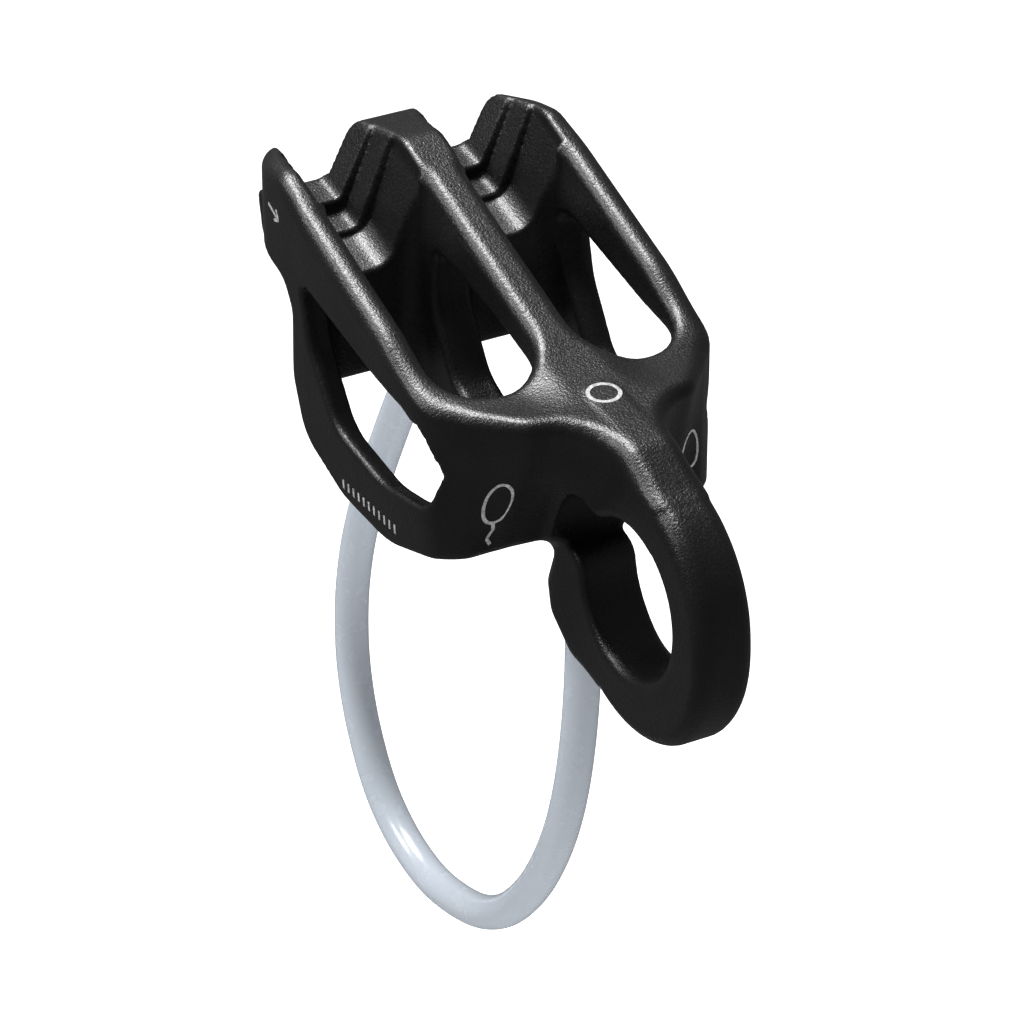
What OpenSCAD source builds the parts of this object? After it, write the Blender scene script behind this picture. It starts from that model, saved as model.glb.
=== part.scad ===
// Rope descender: a forged guide plate with two rope slots and a keeper cable loop.
// Frame: origin at the centre of the anchor eye, +X across the slots, +Y towards
// the friction end, +Z up through the slots. The device is symmetric about X = 0.

/* [Rope slots] */
// Distance between the centres of the two rope slots
slot_pitch = 19.5; // [18:0.1:21]
// Width of each rope slot
slot_w = 13.8; // [12:0.1:14.2]
// Y of the slots' rounded ends, nearest the anchor eye
slot_near_y = 18.4; // [17.5:0.1:20]
// Y of the cross wall that closes the slots at the friction end
slot_far_y = 51.8; // [50:0.1:52.5]

/* [Walls] */
// Overall width across the outer walls at the rails
body_w = 41.8; // [40:0.1:44]
// Draft of the outer faces, in degrees
draft = 3; // [0:0.5:6]
// Lean of the front face, in degrees from vertical
front_lean = 19; // [15:1:22]

/* [Anchor ring] */
// Radius of the anchor eye
eye_r = 10; // [9:0.1:10.8]
// Outer radius of the anchor ring
ring_r = 17; // [16.5:0.1:17.5]
// Thickness of the anchor ring along X
ring_t = 8; // [7.5:0.1:9]
// Chamfer on the ring's outer edges
ring_chamfer = 1.4; // [0.5:0.1:1.8]
// Radius of the release lobe that opens into the eye
lobe_r = 5; // [4:0.1:5.4]

/* [Friction notches] */
// Y where each notch step ends, from the slot outwards; the last runs right out
notch_step_end = [58, 61.8, 80];
// Height of each notch step's floor
notch_floor_z = [22.4, 25, 27.8];
// Half width of each notch step's floor
notch_floor_half = [3, 1.9, 1.2];
// Angle of each notch step's sides, from vertical
notch_angle = [19, 23, 31];

/* [Keeper cable] */
// Outer diameter of the plastic jacket
jacket_d = 4.6; // [3.5:0.1:4.8]
// Diameter of the wire rope inside the jacket
wire_d = 2.5; // [1.8:0.1:2.8]
// Radial gap between the cable and what is round it
cable_gap = 0.06; // [0.03:0.01:0.1]
// Length of the swaged sleeve on each end of the wire rope
sleeve_length = 3.5; // [2:0.5:4]
// Gap between the jacket's end and the sleeve
sleeve_gap = 0.2; // [0.1:0.05:0.5]

/* [Hidden] */
$fn = 64;

arc_steps = 4;                     // segments in each rounded outline corner
half_w = body_w / 2;
bore_r = jacket_d / 2 + cable_gap;
sleeve_end = sleeve_gap + sleeve_length;   // depth of each bore beyond the jacket's end
draft_z = 23;                      // height at which the body has its full width
beyond = 70;                       // reach of a cut that passes right through

// Outline of the walls in (Y, Z), each corner with its own fillet radius
WALL = [
    [2, 0.7, 0], [2, 20.5, 0], [11, 22, 12], [19.5, 23.2, 14], [39, 30.6, 0],
    [56, 37.5, 9], [60.6, 39.2, 3], [66.8, 35, 3], [66.8, 27, 2.5], [63, 24.2, 2],
    [55.5, 22.6, 3], [53.2, 19.5, 3], [52.6, 10, 6], [50, 3, 7], [41.4, -1, 9],
    [30, -2, 14], [20, 0.7, 3.5]
];
// Outline of the cross wall and of the saddles' underside, in (Y, Z)
WEB = [
    [48, 9.8, 0], [54.6, 9.8, 1.2], [54.6, 17.5, 4], [66, 23.5, 2], [67.2, 29.5, 1], [48, 29.5, 0]
];
// Outline of the ring's neck and of the pad that takes the cable, in (Y, Z)
NECK = [
    [0, 0, 0], [-7, 15.4, 0], [1, 19.9, 7], [14, 21.8, 0], [23, 14, 0], [18.4, 2.3, 0],
    [17.7, -1.7, 1.7], [19.4, -6.3, 3], [18.4, -10.8, 3.5], [13.2, -14.8, 4.5], [5.8, -15.9, 0]
];
// Outline of the lug at the friction end that takes the cable's other end
LUG = [
    [41.5, 1.2, 0], [41.5, 9.2, 1], [45.4, 12.6, 2.5], [54.6, 13.8, 4], [60, 8.6, 3.5],
    [58.4, 1.2, 3], [51.8, -1.2, 3.5]
];
// Windows through the outer walls and through the middle wall, in (Y, Z)
OUTER_WINDOW = [
    [49.6, 24, 1.4], [48.5, 16, 9], [42.5, 6.5, 6], [30.5, 3.7, 12], [20.5, 5.8, 3],
    [19.3, 11.5, 3.5], [21, 17.3, 3.5], [31, 18.6, 9]
];
MIDDLE_WINDOW = [
    [47.7, 25.5, 1.7], [48, 17.2, 7], [43, 9.2, 6], [32, 4.1, 9], [21.8, 5.3, 3.5],
    [19.5, 11.5, 3.5], [20.7, 18, 2.3], [33.4, 21.9, 9]
];
// Half of the outline seen from above, in (X, Y) along the leaning front face
PLAN_HALF = [
    [0, -14, 0], [3.7, -14, 0], [3.7, 14.5, 8], [11.5, 15.4, 4.5], [16, 19, 6],
    [19.8, 23.6, 7], [20.9, 31, 11], [20.9, 100, 0], [0, 100, 0]
];
plan_w = 20.9;                     // half width that PLAN_HALF is drawn for
neck_w = 4.5;                      // half width up to which PLAN_HALF keeps its size
lug_t = 7.8;                       // thickness of the cable lug along X
lobe_at = [11.2, 4.7];             // centre of the release lobe in (Y, Z)

// Centre line of the keeper cable in the plane X = 0, in (Y, Z), from lug to ring
ROUTE = [
    [53, 11.5], [55.2, 8], [57.8, 3.7], [61, -1.8], [64.7, -8.6], [68.8, -16.7], [72.4, -24.7],
    [75, -32.8], [76.3, -41], [76, -49.5], [73.6, -57.6], [69, -65], [62.8, -69.5], [55.2, -71.6],
    [47.8, -71.1], [40.8, -69], [34.5, -65], [28.8, -59], [24.5, -52.6], [21, -45.4], [18.6, -38],
    [17, -30], [16.1, -22], [15.8, -14.5], [15.8, -8]
];
last = len(ROUTE) - 1;
lug_axis = unit(ROUTE[0] - ROUTE[2]);      // up the lug's bore
ring_axis = unit(ROUTE[last] - ROUTE[last - 1]);
jacket_sides = 12;
wire_sides = 8;
rings_per_span = 2;                // cable rings between two route points

function unit(v) = v / norm(v);

// One rounded corner of an outline: the points of its fillet arc
function corner(before, at, after, r) =
    r == 0 ? [at] :
    let (a = unit(before - at), b = unit(after - at),
         half = acos(a * b) / 2,
         centre = at + unit(a + b) * r / sin(half),
         from = at + a * r / tan(half) - centre,
         to = at + b * r / tan(half) - centre)
    [for (i = [0:arc_steps]) centre + r * unit(from * (arc_steps - i) + to * i)];

// An outline from rows of [x, y, fillet radius]
function rounded(rows) =
    let (n = len(rows), flat = [for (p = rows) [p[0], p[1]]])
    [for (i = [0:n - 1])
        each corner(flat[(i + n - 1) % n], flat[i], flat[(i + 1) % n], rows[i][2])];

// Catmull-Rom point of the route, at a fraction t of the span that starts at point i
function route_point(i, t) =
    let (a = ROUTE[max(i - 1, 0)], b = ROUTE[i],
         c = ROUTE[min(i + 1, last)], d = ROUTE[min(i + 2, last)])
    (2 * b + (c - a) * t + (2 * a - 5 * b + 4 * c - d) * t * t
        + (3 * b - a - 3 * c + d) * t * t * t) / 2;

ROUTE_FINE = [
    for (i = [0:last - 1]) for (k = [0:rings_per_span - 1]) route_point(i, k / rings_per_span),
    ROUTE[last]
];

// A ring of points round point i of a flat path in the YZ plane
function ring_points(path, i, r, sides) =
    let (n = len(path) - 1,
         along = unit(path[min(i + 1, n)] - path[max(i - 1, 0)]),
         out = [-along[1], along[0]])
    [for (k = [0:sides - 1])
        let (a = 360 * k / sides, q = path[i] + r * cos(a) * out)
        [r * sin(a), q[0], q[1]]];

// Quads between two neighbouring rings, whose points start at p and at q
function band(p, q, sides) =
    [for (k = [0:sides - 1]) let (m = (k + 1) % sides) [p + k, p + m, q + m, q + k]];

module solid_cable(path, r, sides) {
    n = len(path);
    points = [for (i = [0:n - 1]) each ring_points(path, i, r, sides)];
    sheath = [for (i = [0:n - 2]) each band(i * sides, (i + 1) * sides, sides)];
    start_cap = [for (k = [sides - 1:-1:0]) k];
    end_cap = [for (k = [0:sides - 1]) (n - 1) * sides + k];
    polyhedron(points = points, faces = concat(sheath, [start_cap], [end_cap]));
}

module hollow_cable(path, r_out, r_in, sides) {
    n = len(path);
    inner = n * sides;             // index of the first point of the inner wall
    points = concat(
        [for (i = [0:n - 1]) each ring_points(path, i, r_out, sides)],
        [for (i = [0:n - 1]) each ring_points(path, i, r_in, sides)]);
    outside = [for (i = [0:n - 2]) each band(i * sides, (i + 1) * sides, sides)];
    inside = [for (i = [0:n - 2]) each band(inner + (i + 1) * sides, inner + i * sides, sides)];
    start_end = band(inner, 0, sides);
    far_end = band((n - 1) * sides, inner + (n - 1) * sides, sides);
    polyhedron(points = points, faces = concat(outside, inside, start_end, far_end));
}

// Extrudes an outline drawn in (Y, Z) along X, centred on X = 0
module across(width) {
    rotate([90, 0, 90])
        linear_extrude(height = width, center = true)
            children();
}

// Lays a Z-axis child along a direction in the YZ plane, from a point given in (Y, Z)
module along_axis(at, axis) {
    translate([0, at[0], at[1]])
        rotate([atan2(-axis[0], axis[1]), 0, 0])
            children();
}

// The walls and the front face, seen from above and extruded along the front's lean
module plan_block() {
    half = [for (p = PLAN_HALF) [p[0] * (p[0] > neck_w ? half_w / plan_w : 1), p[1], p[2]]];
    right = rounded(half);
    left = [for (i = [len(right) - 1:-1:0]) [-right[i][0], right[i][1]]];
    rotate([front_lean, 0, 0])
        linear_extrude(height = 2 * beyond, center = true)
            polygon(concat(right, left));
}

// Everything outside one drafted outer face; side is 1 for +X and -1 for -X
module draft_cut(side) {
    translate([side * half_w, 0, draft_z])
        rotate([0, side * draft, 0])
            translate([side > 0 ? 0 : -beyond, -beyond, -2 * beyond])
                cube([beyond, 3 * beyond, 2 * beyond]);
}

module walls() {
    difference() {
        intersection() {
            across(body_w + 2) polygon(rounded(WALL));
            plan_block();
        }
        draft_cut(1);
        draft_cut(-1);
    }
}

// The ring's disc, with chamfered outer edges
module ring_disc() {
    h = ring_t / 2;
    rotate([0, 90, 0])
        rotate_extrude()
            polygon([
                [0, -h], [ring_r - ring_chamfer, -h], [ring_r, ring_chamfer - h],
                [ring_r, h - ring_chamfer], [ring_r - ring_chamfer, h], [0, h]
            ]);
}

// One rope slot's cut: rounded at the eye end and square at the cross wall
module slot_cut(side) {
    r = slot_w / 2;
    translate([side * slot_pitch / 2, 0, 0]) {
        translate([0, slot_near_y + r, -beyond])
            cylinder(r = r, h = 2 * beyond);
        translate([-r, slot_near_y + r, -beyond])
            cube([slot_w, slot_far_y - slot_near_y - r, 2 * beyond]);
    }
}

// One friction notch: V cuts that narrow and rise in steps towards the far end
module notch_cut(side) {
    reach = 25;                    // height of each V above its floor
    start = slot_far_y - 1;
    for (i = [0:len(notch_step_end) - 1]) {
        floor_half = notch_floor_half[i];
        top_half = floor_half + reach * tan(notch_angle[i]);
        translate([side * slot_pitch / 2, notch_step_end[i], notch_floor_z[i]])
            rotate([90, 0, 0])
                linear_extrude(height = notch_step_end[i] - start)
                    intersection() {
                        polygon([
                            [-floor_half, 0], [floor_half, 0],
                            [top_half, reach], [-top_half, reach]
                        ]);
                        translate([-slot_w / 2, -1])
                            square([slot_w, reach]);
                    }
    }
}

// Blind bore for one end of the cable, open at the end the cable leaves by
module cable_bore(end, axis) {
    mouth = 14;                    // length of the cut towards the bore's mouth
    along_axis(end + axis * sleeve_end, -axis)
        cylinder(r = bore_r, h = sleeve_end + mouth);
}

module body() {
    color([0.05, 0.05, 0.055])
        difference() {
            union() {
                walls();
                across(ring_t) polygon(rounded(NECK));
                ring_disc();
                across(lug_t) polygon(rounded(LUG));
                across(slot_pitch + slot_w + 1) polygon(rounded(WEB));
            }
            slot_cut(1);
            slot_cut(-1);
            notch_cut(1);
            notch_cut(-1);
            for (side = [-1, 1])
                translate([side * half_w, 0, 0])
                    across(half_w) polygon(rounded(OUTER_WINDOW));
            across(lug_t + 1) polygon(rounded(MIDDLE_WINDOW));
            rotate([0, 90, 0])
                cylinder(r = eye_r, h = beyond, center = true);
            translate([0, lobe_at[0], lobe_at[1]])
                rotate([0, 90, 0])
                    cylinder(r = lobe_r, h = beyond, center = true);
            cable_bore(ROUTE[0], lug_axis);
            cable_bore(ROUTE[last], ring_axis);
        }
}

module cable_jacket() {
    color([0.86, 0.9, 0.94, 0.6])
        hollow_cable(ROUTE_FINE, jacket_d / 2, wire_d / 2 + cable_gap, jacket_sides);
}

module wire_rope() {
    start = ROUTE[0] + lug_axis * sleeve_end;
    finish = ROUTE[last] + ring_axis * sleeve_end;
    color([0.62, 0.63, 0.65])
        solid_cable(concat([start], ROUTE_FINE, [finish]), wire_d / 2, wire_sides);
}

// Steel sleeve swaged on the wire rope and pressed in the bore, beyond the jacket's end
module sleeve(end, axis) {
    color([0.7, 0.7, 0.72])
        along_axis(end + axis * sleeve_gap, axis)
            difference() {
                cylinder(r = bore_r, h = sleeve_length);
                translate([0, 0, -1])
                    cylinder(r = wire_d / 2 + cable_gap, h = sleeve_length + 2);
            }
}

module sleeve_eye_end() {
    sleeve(ROUTE[last], ring_axis);
}

module sleeve_friction_end() {
    sleeve(ROUTE[0], lug_axis);
}

body();
cable_jacket();
wire_rope();
sleeve_eye_end();
sleeve_friction_end();
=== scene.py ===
import math

import bpy
import numpy as np
from mathutils import Matrix, Vector


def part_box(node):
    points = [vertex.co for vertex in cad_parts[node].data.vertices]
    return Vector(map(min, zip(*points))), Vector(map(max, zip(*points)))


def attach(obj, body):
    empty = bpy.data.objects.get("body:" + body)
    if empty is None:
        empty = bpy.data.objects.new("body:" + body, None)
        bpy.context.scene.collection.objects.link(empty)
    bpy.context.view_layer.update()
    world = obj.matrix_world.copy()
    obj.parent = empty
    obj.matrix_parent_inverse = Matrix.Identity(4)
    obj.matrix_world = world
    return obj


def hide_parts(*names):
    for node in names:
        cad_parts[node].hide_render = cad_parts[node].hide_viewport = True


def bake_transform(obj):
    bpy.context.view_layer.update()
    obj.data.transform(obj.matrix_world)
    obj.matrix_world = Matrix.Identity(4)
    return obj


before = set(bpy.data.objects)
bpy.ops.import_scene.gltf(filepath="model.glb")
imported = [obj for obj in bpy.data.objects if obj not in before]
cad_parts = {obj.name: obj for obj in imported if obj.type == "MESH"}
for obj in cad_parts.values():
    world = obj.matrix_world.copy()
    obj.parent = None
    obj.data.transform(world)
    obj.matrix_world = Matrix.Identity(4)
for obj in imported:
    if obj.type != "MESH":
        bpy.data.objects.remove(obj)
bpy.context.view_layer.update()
MM = 0.001

# ---------------------------------------------------------------- camera

CAMERA_AZIMUTH = -30.0
CAMERA_ELEVATION = 29.2
CAMERA_DISTANCE = 592.8            # mm, from the aim point
CAMERA_AIM = (-12.1, 12.35, 8.3)   # mm
CAMERA_LENS = 175.8                # mm, on a 36 mm sensor


def towards(azimuth, elevation):
    """Unit vector from the object towards an azimuth and elevation in degrees; 0 is along -Y."""
    a, e = math.radians(azimuth), math.radians(elevation)
    return Vector((math.sin(a) * math.cos(e), -math.cos(a) * math.cos(e), math.sin(e)))


def make_camera():
    back = towards(CAMERA_AZIMUTH, CAMERA_ELEVATION)
    right = Vector((0, 0, 1)).cross(back).normalized()
    up = back.cross(right)
    data = bpy.data.cameras.new("camera")
    data.lens = CAMERA_LENS
    data.sensor_width = 36
    data.clip_start = 0.01
    data.clip_end = 50
    camera = bpy.data.objects.new("camera", data)
    turn = Matrix((right, up, back)).transposed().to_4x4()
    camera.matrix_world = Matrix.Translation((Vector(CAMERA_AIM) + back * CAMERA_DISTANCE) * MM) @ turn
    bpy.context.scene.collection.objects.link(camera)
    bpy.context.scene.camera = camera


# ---------------------------------------------------------------- keeper cable

JACKET_D = 4.6
WIRE_D = 2.5
WIRE_GAP = 0.06                    # mm between the wire rope and the jacket
JACKET_SIDES = 40
JACKET_END_ROUND = 0.35            # part of the jacket's wall taken off at each end
LAID_STRANDS = 6                   # round one core strand
STRAND_SIDES = 8
STRAND_LAY = 14.0                  # mm for one turn of a strand
# Centre line in the plane X = 0, in (Y, Z) mm, from the lug to the ring's pad
ROUTE = [
    (53, 11.5), (55.2, 8), (57.8, 3.7), (61, -1.8), (64.7, -8.6), (68.8, -16.7), (72.4, -24.7),
    (75, -32.8), (76.3, -41), (76, -49.5), (73.6, -57.6), (69, -65), (62.8, -69.5), (55.2, -71.6),
    (47.8, -71.1), (40.8, -69), (34.5, -65), (28.8, -59), (24.5, -52.6), (21, -45.4), (18.6, -38),
    (17, -30), (16.1, -22), (15.8, -14.5), (15.8, -8),
]
PER_SPAN = 8                       # tube rings between two route points


def unit(v):
    v = np.asarray(v, float)
    return v / np.linalg.norm(v)


def fine_route():
    """Catmull-Rom curve through the route, as (Y, Z) points in mm."""
    p = np.array([ROUTE[0]] + ROUTE + [ROUTE[-1]], float)
    out = []
    for a, b, c, d in zip(p, p[1:], p[2:], p[3:]):
        for k in range(PER_SPAN):
            t = k / PER_SPAN
            out.append((2 * b + (c - a) * t + (2 * a - 5 * b + 4 * c - d) * t ** 2
                        + (3 * b - a - 3 * c + d) * t ** 3) / 2)
    out.append(p[-1])
    return np.array(out)


CENTRE_LINE = fine_route()
LUG_AXIS = unit(np.subtract(ROUTE[0], ROUTE[2]))
RING_AXIS = unit(np.subtract(ROUTE[-1], ROUTE[-2]))
BORE_DEPTH = 3.7                   # sleeve plus the gap between it and the jacket's end


def new_mesh(name, points, faces, smooth=True):
    """A mesh object from points in mm."""
    mesh = bpy.data.meshes.new(name)
    mesh.from_pydata([tuple(q) for q in np.asarray(points) * MM], [], faces)
    mesh.update()
    mesh.polygons.foreach_set("use_smooth", [smooth] * len(mesh.polygons))
    obj = bpy.data.objects.new(name, mesh)
    bpy.context.scene.collection.objects.link(obj)
    return obj


def frames_along(path):
    """Two unit directions square to a path in the plane X = 0, at each of its points."""
    along = np.gradient(path, axis=0)
    along /= np.linalg.norm(along, axis=1)[:, None]
    outwards = np.stack([np.zeros(len(path)), -along[:, 1], along[:, 0]], 1)
    across = np.tile([1.0, 0.0, 0.0], (len(path), 1))
    return outwards, across


def ring_directions(outwards, across, sides):
    """Unit directions in a ring square to a path, at each of its points."""
    a = np.arange(sides) * 2 * math.pi / sides
    return np.cos(a)[None, :, None] * outwards[:, None] + np.sin(a)[None, :, None] * across[:, None]


def tube(path, radii, sides):
    """Rings of points round a path in the plane X = 0, with one radius per point."""
    ring = ring_directions(*frames_along(path), sides)
    centre = np.column_stack([np.zeros(len(path)), path])
    return (centre[:, None] + radii[:, None, None] * ring).reshape(-1, 3)


def band(p, q, sides):
    """Quads between the ring of points that starts at index p and the one that starts at q."""
    return [(p + k, p + (k + 1) % sides, q + (k + 1) % sides, q + k) for k in range(sides)]


def cable_jacket():
    """Hollow plastic tube, slightly narrower at its two ends."""
    sides = JACKET_SIDES
    wall = (JACKET_D - WIRE_D) / 2 - WIRE_GAP
    n = len(CENTRE_LINE)
    outer = np.full(n, JACKET_D / 2)
    outer[[0, -1]] -= JACKET_END_ROUND * wall
    inner = np.full(n, JACKET_D / 2 - wall)
    points = np.vstack([tube(CENTRE_LINE, outer, sides), tube(CENTRE_LINE, inner, sides)])
    start = n * sides
    faces = []
    for i in range(n - 1):
        faces += band(i * sides, (i + 1) * sides, sides)
        faces += band(start + (i + 1) * sides, start + i * sides, sides)
    faces += band(start, 0, sides)
    faces += band((n - 1) * sides, start + (n - 1) * sides, sides)
    return new_mesh("keeper_jacket", points, faces)


def wire_rope():
    """Wire rope of strands laid round a core; it runs past the jacket, to the ends of the bores."""
    path = np.vstack([ROUTE[0] + LUG_AXIS * BORE_DEPTH, CENTRE_LINE,
                      ROUTE[-1] + RING_AXIS * BORE_DEPTH])
    outwards, across = frames_along(path)
    centre = np.column_stack([np.zeros(len(path)), path])
    length = np.concatenate([[0], np.cumsum(np.linalg.norm(np.diff(path, axis=0), axis=1))])
    strand_r = WIRE_D / 6              # three strands side by side make the rope's width
    sides = STRAND_SIDES
    ring = ring_directions(outwards, across, sides)
    points, faces = [], []
    for strand in range(LAID_STRANDS + 1):
        turn = 2 * math.pi * (length / STRAND_LAY + strand / LAID_STRANDS)
        off = 0 if strand == LAID_STRANDS else 2 * strand_r
        middle = centre + off * (np.cos(turn)[:, None] * outwards + np.sin(turn)[:, None] * across)
        base = len(points) * len(path) * sides
        points.append((middle[:, None] + strand_r * ring).reshape(-1, 3))
        for i in range(len(path) - 1):
            faces += band(base + i * sides, base + (i + 1) * sides, sides)
        faces.append(tuple(base + k for k in reversed(range(sides))))
        faces.append(tuple(base + (len(path) - 1) * sides + k for k in range(sides)))
    return new_mesh("keeper_wire_rope", np.vstack(points), faces)


# ---------------------------------------------------------------- forged body

# The outlines are rows of (across, up, fillet radius), in mm
WALL = [
    (-6, 5, 0), (-6, 15.5, 0), (1, 19.9, 7), (11, 21.2, 12), (19.5, 22.8, 14), (39, 30.6, 0),
    (55.5, 37.3, 5), (66.3, 36.4, 2.5), (66.4, 27, 2.5), (63, 24.2, 2),
    (55.5, 22.6, 3), (53.6, 19.5, 3), (53.4, 10, 6), (50.8, 2.6, 7), (41.4, -1.6, 9),
    (30, -2.7, 14), (20, 0.2, 3.5),
]
WEB = [
    (48, 9.8, 0), (54.6, 9.8, 1.2), (54.6, 17.5, 4), (66, 23.5, 2), (67.2, 29.5, 1), (48, 29.5, 0),
]
NECK = [
    (0, 0, 0), (-7, 15.4, 0), (1, 19.9, 7), (14, 21.8, 0), (23, 14, 0), (18.4, 2.3, 0),
    (17.7, -1.7, 1.7), (19.4, -6.3, 3), (18.4, -10.8, 3.5), (13.2, -14.8, 4.5), (5.8, -15.9, 0),
]
LUG = [
    (41.5, 1.2, 0), (41.5, 9.2, 1), (45.4, 12.6, 2.5), (54.6, 13.8, 4), (60, 8.6, 3.5),
    (58.4, 1.2, 3), (51.8, -1.2, 3.5),
]
OUTER_WINDOW = [
    (50, 25, 1.4), (47.6, 16.3, 9), (41.6, 7.8, 6), (30.5, 5.6, 12), (19.6, 7.0, 3.3),
    (18.2, 12.5, 4), (20.6, 18, 5), (31, 20, 9),
]
MIDDLE_WINDOW = [
    (47.7, 25.5, 1.7), (48, 17.2, 7), (43, 9.2, 6), (32, 4.1, 9), (21.8, 5.3, 3.5),
    (19.5, 11.5, 3.5), (20.7, 18.8, 2.3), (33.4, 22.9, 9),
]
PLAN = [
    (-30, -30, 0), (4, -30, 0), (4, 14.5, 8), (11.5, 15.4, 4.5), (16.3, 19, 6),
    (20.3, 23.2, 7), (20.9, 31, 11), (20.9, 110, 0), (-30, 110, 0),
]
# The same outline low down, where the neck turns into the walls with a tighter fillet
PLAN_LOW = [(x, w, 3.5 if r == 8 else r) for x, w, r in PLAN]
SLOT = [(2.85, 18.4, 6.85), (16.65, 18.4, 6.85), (16.65, 51.8, 3), (2.85, 51.8, 3)]
HORN_PLAN = [
    (-30, -40, 0), (30, -40, 0), (26, 40, 0), (21, 50, 20),
    (19.9, 60, 8), (16.5, 67, 4), (-30, 67, 0),
]

# Lengths are in mm, an edge or fillet is a radius, and X is the distance to either side of X = 0.
# A span is where something grows from nothing to its full amount.
HALF_W = 20.9
SLOT_CENTRE = 9.75
SLOT_HALF_W = 6.9
DRAFT = math.radians(3)
DRAFT_Z = 23.0                     # the flanks are upright above this
FRONT_LEAN = math.radians(19)
CORNER_Z = 14.0                    # where the leaning and the upright front are level
LEAN_SPAN_X = (18, 10)
HIGH_PLAN_SPAN_Z = (4, 15)

RAIL_DROP = 0.7
RAIL_SPAN_X = (4, 11)
RAIL_SPAN_Y = (8, 22)
SLOT_END_DROP = 1.5
SLOT_END_SPAN_X = (3, 9)
SLOT_END_NEAR_SPAN_Y = (9, 17)
SLOT_END_FAR_SPAN_Y = (31, 21)
DROP_SPAN_Z = (14, 26)

FLANK_EDGE = 1.0
HORN_EDGE = 1.5
WALL_EDGE = 1.0
WALL_EDGE_GROWTH = 1.2
WALL_EDGE_SPAN_Z = (10, 20)

EYE_R = 10.0
EYE_EDGE = 0.6
EYE_EDGE_GROWTH = 0.7
EYE_EDGE_SPAN_Y = (9, 3)
RING_R = 17.0
RING_HALF_T = 4.0
RING_EDGE = 2.2
RING_BULGE_AT = (-2.6, -4.2)       # a smaller disc that thickens the ring low at the front
RING_BULGE_R = RING_R - 3.6
RING_BULGE_FILLET = 1
NECK_FILLET = 0.3
LOBE = (11.2, 5.3, 4.4)            # Y, Z and radius of the release lobe
LOBE_HALF_W = 5.0
LOBE_FILLET = 2.5

TOUCH_FILLET = 0.02                # next to nothing, where the walls and the neck share a surface
PAD_FILLET_GROWTH = 2.5
PAD_SPAN_Z = (5, 1)
PAD_SPAN_Y = (12, 16)
WEB_HALF_W = 17.2
WEB_EDGE = 0.5
WEB_FILLET = 0.1
WEB_FILLET_GROWTH = 1.4
WEB_FILLET_SPAN_Y = (66, 60)
LUG_HALF_W = 3.9
LUG_EDGE = 1.3
LUG_FILLET = 2.0

SLOT_EDGE = 1.7
OUTER_WINDOW_FROM_X = 8
OUTER_WINDOW_EDGE = 0.7
WINDOW_FLARE = 0.9                 # how much the outer windows narrow towards the flanks
WINDOW_FLARE_SPAN_X = (19.5, 16.6)
MIDDLE_WINDOW_TO_X = 6
MIDDLE_WINDOW_EDGE = 1.0

BORE_GAP = 0.06                    # between the jacket and its bore
BORE_OUTSIDE = 14                  # how far the bore's cutter runs on past the cable's end
BORE_EDGE = 0.4

VOXEL = 0.46                       # spacing of the samples the body's mesh is made from


def rounded(rows, steps=8):
    """An outline's points, with its corners turned into fillet arcs."""
    rows = np.array(rows, float)
    out = []
    for i, (x, y, r) in enumerate(rows):
        at = np.array([x, y])
        if r == 0:
            out.append(at)
            continue
        a, b = unit(rows[i - 1, :2] - at), unit(rows[(i + 1) % len(rows), :2] - at)
        half = math.acos(np.clip(a @ b, -1, 1)) / 2
        centre = at + unit(a + b) * r / math.sin(half)
        first = at + a * r / math.tan(half) - centre
        final = at + b * r / math.tan(half) - centre
        out += [centre + r * unit(first * (steps - k) + final * k) for k in range(steps + 1)]
    return np.array(out)


class Outline:
    """Signed distance to a closed outline, negative inside, read from a fine table."""

    def __init__(self, rows, margin=8.0, step=0.2):
        p = rounded(rows)
        self.low, self.step = p.min(0) - margin, step
        size = np.ceil((p.max(0) + margin - self.low) / step).astype(int) + 1
        u = self.low[0] + step * np.arange(size[0])[:, None]
        v = self.low[1] + step * np.arange(size[1])[None, :]
        nearest = np.full(size, 1e9)
        inside = np.zeros(size, bool)
        for (x0, y0), (x1, y1) in zip(p, np.roll(p, -1, 0)):
            dx, dy = x1 - x0, y1 - y0
            t = np.clip(((u - x0) * dx + (v - y0) * dy) / (dx * dx + dy * dy), 0, 1)
            nearest = np.minimum(nearest, np.hypot(u - x0 - t * dx, v - y0 - t * dy))
            if dy:
                crosses = ((y0 > v) != (y1 > v)) & (u < x0 + (v - y0) * dx / dy)
                inside ^= crosses
        self.table = np.where(inside, -nearest, nearest)

    def __call__(self, u, v):
        u, v = np.broadcast_arrays(u, v)
        # Just short of the last row and column, so that i + 1 and j + 1 are still in the table
        top = np.array(self.table.shape) - 1.001
        s = np.clip((u - self.low[0]) / self.step, 0, top[0])
        t = np.clip((v - self.low[1]) / self.step, 0, top[1])
        i, j = s.astype(int), t.astype(int)
        s, t = s - i, t - j
        g = self.table
        return ((g[i, j] * (1 - s) + g[i + 1, j] * s) * (1 - t)
                + (g[i, j + 1] * (1 - s) + g[i + 1, j + 1] * s) * t)


def join(a, b, r):
    """Union of two solids with a concave fillet of radius r between them."""
    return np.maximum(r, np.minimum(a, b)) - np.hypot(np.maximum(r - a, 0), np.maximum(r - b, 0))


def meet(a, b, r):
    """Intersection of two solids, with its edges rounded to radius r."""
    return np.minimum(-r, np.maximum(a, b)) + np.hypot(np.maximum(r + a, 0), np.maximum(r + b, 0))


def ramp(x, start, end):
    """Smooth step from 0 where x is at start to 1 where it is at end."""
    t = np.clip((x - start) / (end - start), 0, 1)
    return t * t * (3 - 2 * t)


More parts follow.
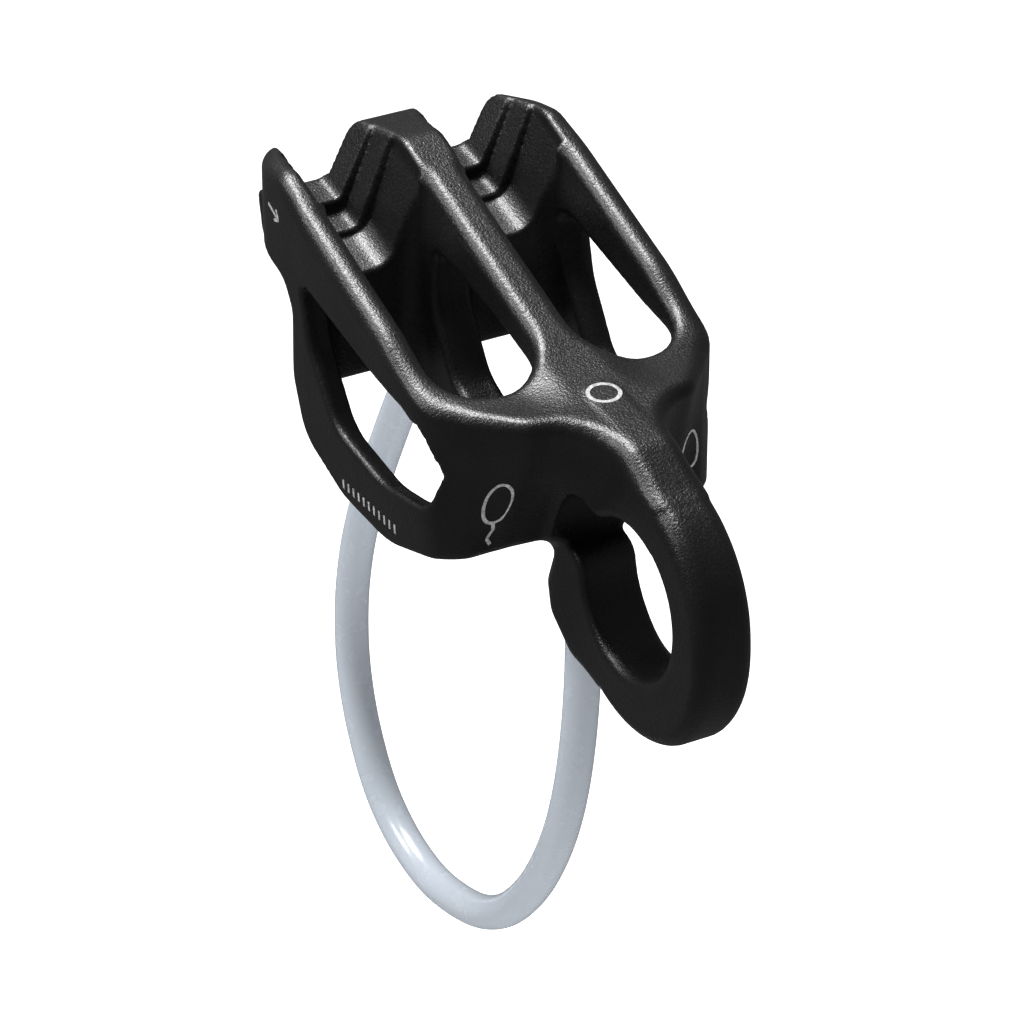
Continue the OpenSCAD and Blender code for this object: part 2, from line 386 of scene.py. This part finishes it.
OUTLINES = {
    name: Outline(rows) for name, rows in (
        ("wall", WALL), ("web", WEB), ("neck", NECK), ("lug", LUG), ("outer_window", OUTER_WINDOW),
        ("middle_window", MIDDLE_WINDOW), ("plan", PLAN), ("plan_low", PLAN_LOW),
        ("slot", SLOT), ("horn_plan", HORN_PLAN))
}


def disc(y, z, at, r):
    """Signed distance to a disc in the (Y, Z) plane."""
    return np.hypot(y - at[0], z - at[1]) - r


def walls_distance(ax, y, z):
    """The walls before their slots: the crest is lower at the rails and round the slots' near ends."""
    rails = RAIL_DROP * ramp(ax, *RAIL_SPAN_X) * ramp(y, *RAIL_SPAN_Y)
    slot_ends = (SLOT_END_DROP * ramp(ax, *SLOT_END_SPAN_X)
                 * ramp(y, *SLOT_END_FAR_SPAN_Y) * ramp(y, *SLOT_END_NEAR_SPAN_Y))
    drop = (rails + slot_ends) * ramp(z, *DROP_SPAN_Z)
    wall = OUTLINES["wall"](y, z + drop)
    # The front face leans in the middle and stands upright at the outer corners
    leaning = CORNER_Z + (z - CORNER_Z) * ramp(ax, *LEAN_SPAN_X)
    forward = y * math.cos(FRONT_LEAN) + leaning * math.sin(FRONT_LEAN)
    low = OUTLINES["plan_low"](ax, forward)
    plan = low + (OUTLINES["plan"](ax, forward) - low) * ramp(z, *HIGH_PLAN_SPAN_Z)
    flank = (ax - HALF_W + np.maximum(DRAFT_Z - z, 0) * math.tan(DRAFT)) * math.cos(DRAFT)
    horn = OUTLINES["horn_plan"](ax, y)
    sides = meet(meet(plan, flank, FLANK_EDGE), horn, HORN_EDGE)
    return meet(wall, sides, WALL_EDGE + WALL_EDGE_GROWTH * ramp(z, *WALL_EDGE_SPAN_Z))


def ring_distance(ax, y, z):
    """The anchor ring with its neck and cable pad: a flat plate with well rounded edges."""
    bulge = disc(y, z, RING_BULGE_AT, RING_BULGE_R)
    ring = join(disc(y, z, (0, 0), RING_R), bulge, RING_BULGE_FILLET)
    outline = join(ring, OUTLINES["neck"](y, z), NECK_FILLET)
    return meet(outline, ax - RING_HALF_T, RING_EDGE)


# Each friction step: where it ends along Y, its floor's height at its start, the floor's slope
# and half width, the sides' angle from upright in degrees, and the fillet between them
NOTCHES = [
    (58.0, 22.2, 0.34, 3.0, 19, 2.2),
    (61.8, 25.4, 0.2, 1.9, 23, 0.8),
    (90.0, 27.9, 0.2, 1.5, 27, 0.6),
]
NOTCH_START = 50.8
NOTCH_EDGE = 0.5
NOTCH_EXTRA_W = 0.6                # added on the side towards the flank
NOTCH_EXTRA_SPAN_X = (10, 12)


def notch_distance(ax, y, z):
    """The stepped V friction notch, as a solid to cut away."""
    out = None
    x = np.abs(ax - SLOT_CENTRE) - NOTCH_EXTRA_W * ramp(ax, *NOTCH_EXTRA_SPAN_X)
    begin = NOTCH_START
    for end, floor_z, slope, half, angle, fillet in NOTCHES:
        a = math.radians(angle)
        height = z - floor_z - slope * (y - begin)
        side = np.maximum((x - half - height * math.tan(a)) * math.cos(a), x - SLOT_HALF_W)
        vee = meet(side, -height, fillet)
        vee = np.maximum(vee, np.maximum(NOTCH_START - y, y - end))
        out = vee if out is None else np.minimum(out, vee)
        begin = end
    return out


def bore_distance(x, y, z, end, axis):
    """A blind cable bore along axis, which points into the body from the cable's end."""
    dy, dz = y - end[0], z - end[1]
    along = dy * axis[0] + dz * axis[1]
    off = np.sqrt(x * x + (dy * axis[1] - dz * axis[0]) ** 2)
    ends = np.maximum(along - BORE_DEPTH, -along - BORE_OUTSIDE)
    return np.maximum(off - JACKET_D / 2 - BORE_GAP, ends)


def body_distance(x, y, z):
    """Signed distance to the forged body, in mm, negative inside."""
    ax = np.abs(x)
    pad_fillet = TOUCH_FILLET + PAD_FILLET_GROWTH * ramp(z, *PAD_SPAN_Z) * ramp(y, *PAD_SPAN_Y)
    web_fillet = WEB_FILLET + WEB_FILLET_GROWTH * ramp(y, *WEB_FILLET_SPAN_Y)
    web = meet(OUTLINES["web"](y, z), ax - WEB_HALF_W, WEB_EDGE)
    lug = meet(OUTLINES["lug"](y, z), ax - LUG_HALF_W, LUG_EDGE)
    solid = join(walls_distance(ax, y, z), ring_distance(ax, y, z), pad_fillet)
    solid = join(solid, web, web_fillet)
    solid = join(solid, lug, LUG_FILLET)
    solid = meet(solid, -OUTLINES["slot"](ax, y), SLOT_EDGE)
    solid = meet(solid, -notch_distance(ax, y, z), NOTCH_EDGE)
    flare = WINDOW_FLARE * ramp(ax, *WINDOW_FLARE_SPAN_X)
    outer = np.maximum(OUTLINES["outer_window"](y, z) - flare, OUTER_WINDOW_FROM_X - ax)
    solid = meet(solid, -outer, OUTER_WINDOW_EDGE)
    middle = np.maximum(OUTLINES["middle_window"](y, z), ax - MIDDLE_WINDOW_TO_X)
    solid = meet(solid, -middle, MIDDLE_WINDOW_EDGE)
    lobe = np.maximum(disc(y, z, LOBE[:2], LOBE[2]), ax - LOBE_HALF_W)
    hole = join(disc(y, z, (0, 0), EYE_R), lobe, LOBE_FILLET)
    solid = meet(solid, -hole, EYE_EDGE + EYE_EDGE_GROWTH * ramp(y, *EYE_EDGE_SPAN_Y))
    for end, axis in ((ROUTE[0], LUG_AXIS), (ROUTE[-1], RING_AXIS)):
        solid = meet(solid, -bore_distance(x, y, z, end, axis), BORE_EDGE)
    return solid


def surface_net(field, low, step):
    """Mesh of a sampled distance field: one point per crossed cell, one quad per crossed edge."""
    inside = field < 0
    shape = np.array(field.shape) - 1
    total = np.zeros((*shape, 3), np.float32)
    count = np.zeros(shape, np.float32)
    for axis in range(3):
        others = [a for a in range(3) if a != axis]
        for p in (0, 1):
            for q in (0, 1):
                first = [slice(None, -1)] * 3
                first[others[0]] = slice(p, p + shape[others[0]])
                first[others[1]] = slice(q, q + shape[others[1]])
                second = list(first)
                second[axis] = slice(1, None)
                a, b = field[tuple(first)], field[tuple(second)]
                cut = inside[tuple(first)] != inside[tuple(second)]
                t = np.where(cut, a / np.where(cut, a - b, 1), 0)
                count += cut
                total[..., axis] += t
                total[..., others[0]] += p * cut
                total[..., others[1]] += q * cut
    cells = count > 0
    index = np.full(shape, -1)
    index[cells] = np.arange(cells.sum())
    where = np.argwhere(cells)
    points = low + step * (where + total[cells] / count[cells][:, None])
    quads = []
    for axis in range(3):
        others = [(axis + 1) % 3, (axis + 2) % 3]
        first = [slice(1, -1)] * 3
        first[axis] = slice(None, -1)
        second = list(first)
        second[axis] = slice(1, None)
        leaves = inside[tuple(first)] & ~inside[tuple(second)]
        enters = ~inside[tuple(first)] & inside[tuple(second)]
        for crossed, order in ((leaves, (0, 1, 2, 3)), (enters, (3, 2, 1, 0))):
            at = np.argwhere(crossed)
            at[:, others] += 1
            corners = []
            for p, q in ((0, 0), (-1, 0), (-1, -1), (0, -1)):
                c = at.copy()
                c[:, others[0]] += p
                c[:, others[1]] += q
                corners.append(index[c[:, 0], c[:, 1], c[:, 2]])
            quads.append(np.stack([corners[k] for k in order], 1))
    return points, np.vstack(quads)


def gradient(points):
    """Gradient of the body's distance field, from differences over h mm to each side."""
    h = 0.05
    steps = np.eye(3) * h
    return np.stack([(body_distance(*(points + s).T) - body_distance(*(points - s).T)) / (2 * h)
                     for s in steps], 1)


def onto_surface(points, rounds=2, lift=0.0):
    """Moves points along the field's gradient until they are at a height lift above the body."""
    least_slope = 0.25             # squared; keeps a step finite where the field is flat
    longest = 0.3                  # mm moved along each axis in one round
    points = np.array(points, float)
    for _ in range(rounds):
        g = gradient(points)
        d = body_distance(*points.T) - lift
        move = (d / np.maximum((g * g).sum(1), least_slope))[:, None] * g
        points -= np.clip(move, -longest, longest)
    return points


def forged_body():
    """The body's mesh, from a field sampled on one side of X = 0 and mirrored to the other."""
    low, high = (np.array(c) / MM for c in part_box("body"))
    low, high = low - 2 * VOXEL, high + 2 * VOXEL
    half = np.arange(0, high[0] + VOXEL, VOXEL)
    x = half[:, None, None]
    y = np.arange(low[1], high[1] + VOXEL, VOXEL)[None, :, None]
    z = np.arange(low[2], high[2] + VOXEL, VOXEL)[None, None, :]
    field = body_distance(x, y, z)
    field = np.concatenate([field[:0:-1], field])
    start = np.array([-half[-1], y[0, 0, 0], z[0, 0, 0]])
    points, quads = surface_net(field.astype(np.float32), start, VOXEL)
    points = onto_surface(points)
    return new_mesh("forged_body", points, quads.tolist())


# ---------------------------------------------------------------- printed marks

def arc(cy, cz, ry, rz, start, end, steps=16):
    """Points of an elliptical arc, with angles in degrees."""
    a = np.radians(np.linspace(start, end, steps + 1))
    return [(cy + ry * math.cos(t), cz + rz * math.sin(t)) for t in a]


# Strokes as (right, up) in mm round each mark's centre
LINK_MARK = [
    arc(0, 0.8, 1.7, 2.9, 0, 360, 28), [(0, -2.1), (0.2, -3.2), (-0.3, -4.4), (0.3, -5.4)],
]
ARROW_MARK = [[(-1.6, 0), (1.6, 0)], [(0.5, 0.9), (1.6, 0), (0.5, -0.9)]]
RING_MARK = [arc(0, 0, 2.0, 1.8, 0, 360, 24)]
TICK_MARKS = [[(k * 1.3, -0.6), (k * 1.3, 0.6)] for k in range(-5, 6)]
# Each mark: strokes, centre, direction to its right, direction up, stroke width
MARKS = [
    (LINK_MARK, (-13.8, 13.2, 7.8), (0.85, -0.5, 0.0), (0.0, -0.3, 0.95), 0.4),
    (LINK_MARK, (14.6, 13.6, 7.8), (0.85, 0.5, 0.0), (0.0, -0.3, 0.95), 0.4),
    (ARROW_MARK, (-20.0, 57.0, 31.0), (0.0, -0.93, -0.36), (0.0, -0.36, 0.93), 0.4),
    (RING_MARK, (0.0, 11.6, 21.3), (1.0, 0.0, 0.0), (0.0, 0.98, 0.18), 0.5),
    (TICK_MARKS, (-19.0, 34.0, 0.8), (0.0, -1.0, 0.0), (0.0, 0.0, 1.0), 0.4),
]
PAINT_RISE = 0.03                  # mm above the body
PAINT_ROOT = -0.05                 # mm, buried in the body
PAINT_ROUNDS = 12                  # moves that bring a mark onto the body
STROKE_STEP = 0.3                  # mm between points along a stroke


def printed_marks():
    """Thin closed strips laid on the body along each mark's strokes."""
    points, faces = [], []
    for strokes, centre, right, up, width in MARKS:
        right, up = unit(right), unit(up)
        for stroke in strokes:
            line = np.array(stroke, float)
            run = np.concatenate([[0], np.cumsum(np.linalg.norm(np.diff(line, axis=0), axis=1))])
            n = int(run[-1] / STROKE_STEP) + 3
            at = np.linspace(0, run[-1], n)
            line = np.column_stack([np.interp(at, run, line[:, k]) for k in (0, 1)])
            along = np.gradient(line, axis=0)
            along /= np.linalg.norm(along, axis=1)[:, None]
            side = np.column_stack([-along[:, 1], along[:, 0]]) * width / 2
            edges = [np.array(centre) + e[:, :1] * right + e[:, 1:] * up
                     for e in (line + side, line - side)]
            top = [onto_surface(e, PAINT_ROUNDS, PAINT_RISE) for e in edges]
            low = [onto_surface(e, PAINT_ROUNDS, PAINT_ROOT) for e in edges]
            base = len(points)
            points += np.stack([top[0], top[1], low[1], low[0]], 1).reshape(-1, 3).tolist()
            for i in range(n - 1):
                faces += band(base + 4 * i, base + 4 * (i + 1), 4)
            faces.append((base + 3, base + 2, base + 1, base))
            faces.append(tuple(base + 4 * (n - 1) + k for k in range(4)))
    return new_mesh("printed_marks", points, faces, smooth=False)


# ---------------------------------------------------------------- materials

def material(name):
    """A new material with its node tree, its main shader and object coordinates, in metres."""
    m = bpy.data.materials.new(name)
    m.use_nodes = True
    nodes = m.node_tree.nodes
    shader = next(n for n in nodes if n.type == "BSDF_PRINCIPLED")
    coords = nodes.new("ShaderNodeTexCoord")
    return m, m.node_tree, shader, coords.outputs["Object"]


def noise(tree, where, scale, detail=2.0, roughness=0.5):
    n = tree.nodes.new("ShaderNodeTexNoise")
    n.inputs["Scale"].default_value = scale
    n.inputs["Detail"].default_value = detail
    n.inputs["Roughness"].default_value = roughness
    tree.links.new(where, n.inputs["Vector"])
    return n.outputs["Fac"]


def map_range(tree, value, a, b, low, high):
    n = tree.nodes.new("ShaderNodeMapRange")
    for name, v in (("From Min", a), ("From Max", b), ("To Min", low), ("To Max", high)):
        n.inputs[name].default_value = v
    tree.links.new(value, n.inputs["Value"])
    return n.outputs["Result"]


def blend_colours(tree, factor, first, second):
    n = tree.nodes.new("ShaderNodeMix")
    n.data_type = "RGBA"
    n.inputs["A"].default_value = (*first, 1)
    n.inputs["B"].default_value = (*second, 1)
    tree.links.new(factor, n.inputs["Factor"])
    return n.outputs["Result"]


def bump(tree, height, strength, distance, below=None):
    n = tree.nodes.new("ShaderNodeBump")
    n.inputs["Strength"].default_value = strength
    n.inputs["Distance"].default_value = distance
    tree.links.new(height, n.inputs["Height"])
    if below is not None:
        tree.links.new(below, n.inputs["Normal"])
    return n.outputs["Normal"]


def anodised_black():
    """Bead-blasted, black anodised aluminium: fine grain over faint blotches."""
    m, tree, shader, where = material("anodised_black")
    blotch = noise(tree, where, 90, 3)
    grain = noise(tree, where, 3200, 2, 0.6)
    colour = blend_colours(tree, map_range(tree, blotch, 0.3, 0.7, 0, 1),
                           (0.0035, 0.0035, 0.0038), (0.007, 0.007, 0.0074))
    tree.links.new(colour, shader.inputs["Base Color"])
    tree.links.new(map_range(tree, grain, 0.3, 0.7, 0.27, 0.42), shader.inputs["Roughness"])
    shader.inputs["Metallic"].default_value = 0.0
    shader.inputs["Specular IOR Level"].default_value = 0.5
    blasted = bump(tree, grain, 0.8, 0.0001)
    tree.links.new(bump(tree, noise(tree, where, 500, 2), 0.15, 0.00006, blasted),
                   shader.inputs["Normal"])
    return m


def pale_paint():
    """Pale grey paint, slightly uneven where the blasted grain shows through."""
    m, tree, shader, where = material("pale_paint")
    grain = noise(tree, where, 2600, 2, 0.6)
    colour = blend_colours(tree, map_range(tree, grain, 0.35, 0.65, 0, 1),
                           (0.2, 0.2, 0.205), (0.42, 0.42, 0.43))
    tree.links.new(colour, shader.inputs["Base Color"])
    tree.links.new(map_range(tree, grain, 0.3, 0.7, 0.5, 0.65), shader.inputs["Roughness"])
    tree.links.new(bump(tree, grain, 0.4, 0.00004), shader.inputs["Normal"])
    return m


def milky_plastic():
    """Translucent milky plastic with a faint blue cast, slightly cloudy and uneven."""
    m, tree, shader, where = material("milky_plastic")
    cloud = noise(tree, where, 60, 2)
    colour = blend_colours(tree, map_range(tree, cloud, 0.3, 0.7, 0, 1),
                           (0.42, 0.462, 0.515), (0.45, 0.49, 0.54))
    tree.links.new(colour, shader.inputs["Base Color"])
    tree.links.new(map_range(tree, noise(tree, where, 400, 2), 0.3, 0.7, 0.2, 0.3),
                   shader.inputs["Roughness"])
    shader.inputs["Subsurface Weight"].default_value = 0.4
    shader.inputs["Subsurface Radius"].default_value = (0.8, 0.9, 1.0)
    shader.inputs["Subsurface Scale"].default_value = 0.001
    shader.inputs["Coat Weight"].default_value = 0.4
    shader.inputs["Coat Roughness"].default_value = 0.08
    tree.links.new(bump(tree, noise(tree, where, 250, 1), 0.05, 0.00005), shader.inputs["Normal"])
    return m


def bright_steel(name, roughness):
    """Bright steel with a fine grain; its roughness varies a little round the one given."""
    spread = 0.06
    m, tree, shader, where = material(name)
    grain = noise(tree, where, 1500, 3)
    colour = blend_colours(tree, map_range(tree, grain, 0.3, 0.7, 0, 1),
                           (0.5, 0.51, 0.53), (0.66, 0.67, 0.69))
    tree.links.new(colour, shader.inputs["Base Color"])
    tree.links.new(map_range(tree, grain, 0.3, 0.7, roughness - spread, roughness + spread),
                   shader.inputs["Roughness"])
    shader.inputs["Metallic"].default_value = 1.0
    tree.links.new(bump(tree, grain, 0.2, 0.00003), shader.inputs["Normal"])
    return m


# ---------------------------------------------------------------- stage

# Lengths here are in metres
FLOOR_Z = -0.25
FLOOR_HALF = 12.0
FLOOR_GREY = 0.9
FLOOR_GLOW = 0.6
WORLD_STRENGTH = 0.11
LIGHT_AIM = (0, 0.03, 0)
SOFTBOX_SIDE = 0.3
# Each softbox: name, azimuth and elevation in degrees, distance, power in watts
SOFTBOXES = [
    ("key", -165, 70, 0.7, 11),
    ("side", -112, 40, 0.8, 3),
]


def make_floor():
    """A white floor that no gloss reflects, below the loop, so that the object hangs above it."""
    mesh = bpy.data.meshes.new("floor")
    r = FLOOR_HALF
    mesh.from_pydata([(-r, -r, FLOOR_Z), (r, -r, FLOOR_Z), (r, r, FLOOR_Z), (-r, r, FLOOR_Z)],
                     [], [(0, 1, 2, 3)])
    floor = bpy.data.objects.new("floor", mesh)
    bpy.context.scene.collection.objects.link(floor)
    m = bpy.data.materials.new("floor")
    m.use_nodes = True
    shader = next(n for n in m.node_tree.nodes if n.type == "BSDF_PRINCIPLED")
    shader.inputs["Base Color"].default_value = (FLOOR_GREY, FLOOR_GREY, FLOOR_GREY, 1)
    shader.inputs["Roughness"].default_value = 1.0
    shader.inputs["Specular IOR Level"].default_value = 0.0
    shader.inputs["Emission Color"].default_value = (1, 1, 1, 1)
    shader.inputs["Emission Strength"].default_value = FLOOR_GLOW
    mesh.materials.append(m)
    floor.visible_glossy = False


def softbox(name, azimuth, elevation, distance, power):
    """A square area light that faces the aim point."""
    data = bpy.data.lights.new(name, "AREA")
    data.shape = "RECTANGLE"
    data.size = SOFTBOX_SIDE
    data.size_y = SOFTBOX_SIDE
    data.energy = power
    light = bpy.data.objects.new(name, data)
    direction = towards(azimuth, elevation)
    light.matrix_world = (Matrix.Translation(Vector(LIGHT_AIM) + direction * distance)
                          @ direction.to_track_quat("Z", "Y").to_matrix().to_4x4())
    bpy.context.scene.collection.objects.link(light)


def make_light():
    world = bpy.data.worlds.new("studio")
    bpy.context.scene.world = world
    world.use_nodes = True
    background = world.node_tree.nodes["Background"]
    background.inputs["Color"].default_value = (1, 1, 1, 1)
    background.inputs["Strength"].default_value = WORLD_STRENGTH
    for settings in SOFTBOXES:
        softbox(*settings)
    bpy.context.scene.view_settings.view_transform = "Standard"


# ---------------------------------------------------------------- assembly

make_camera()

jacket = cable_jacket()
wire = wire_rope()

body = forged_body()
body.data.materials.append(anodised_black())
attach(body, "descender")
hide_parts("body")

marks = printed_marks()
marks.data.materials.append(pale_paint())
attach(marks, "descender")

jacket.data.materials.append(milky_plastic())
wire.data.materials.append(bright_steel("wire_steel", 0.3))

# Each cable piece keeps the shape it was built with, and its CAD part is hidden
for piece, node, slot in ((jacket, "cable_jacket", "cable_jacket"), (wire, "wire_rope", "wire_rope")):
    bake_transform(piece)
    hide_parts(node)

sleeve_steel = bright_steel("sleeve_steel", 0.35)
for node in ("sleeve_eye_end", "sleeve_friction_end"):
    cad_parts[node].data.materials.clear()
    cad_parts[node].data.materials.append(sleeve_steel)

make_floor()
make_light()
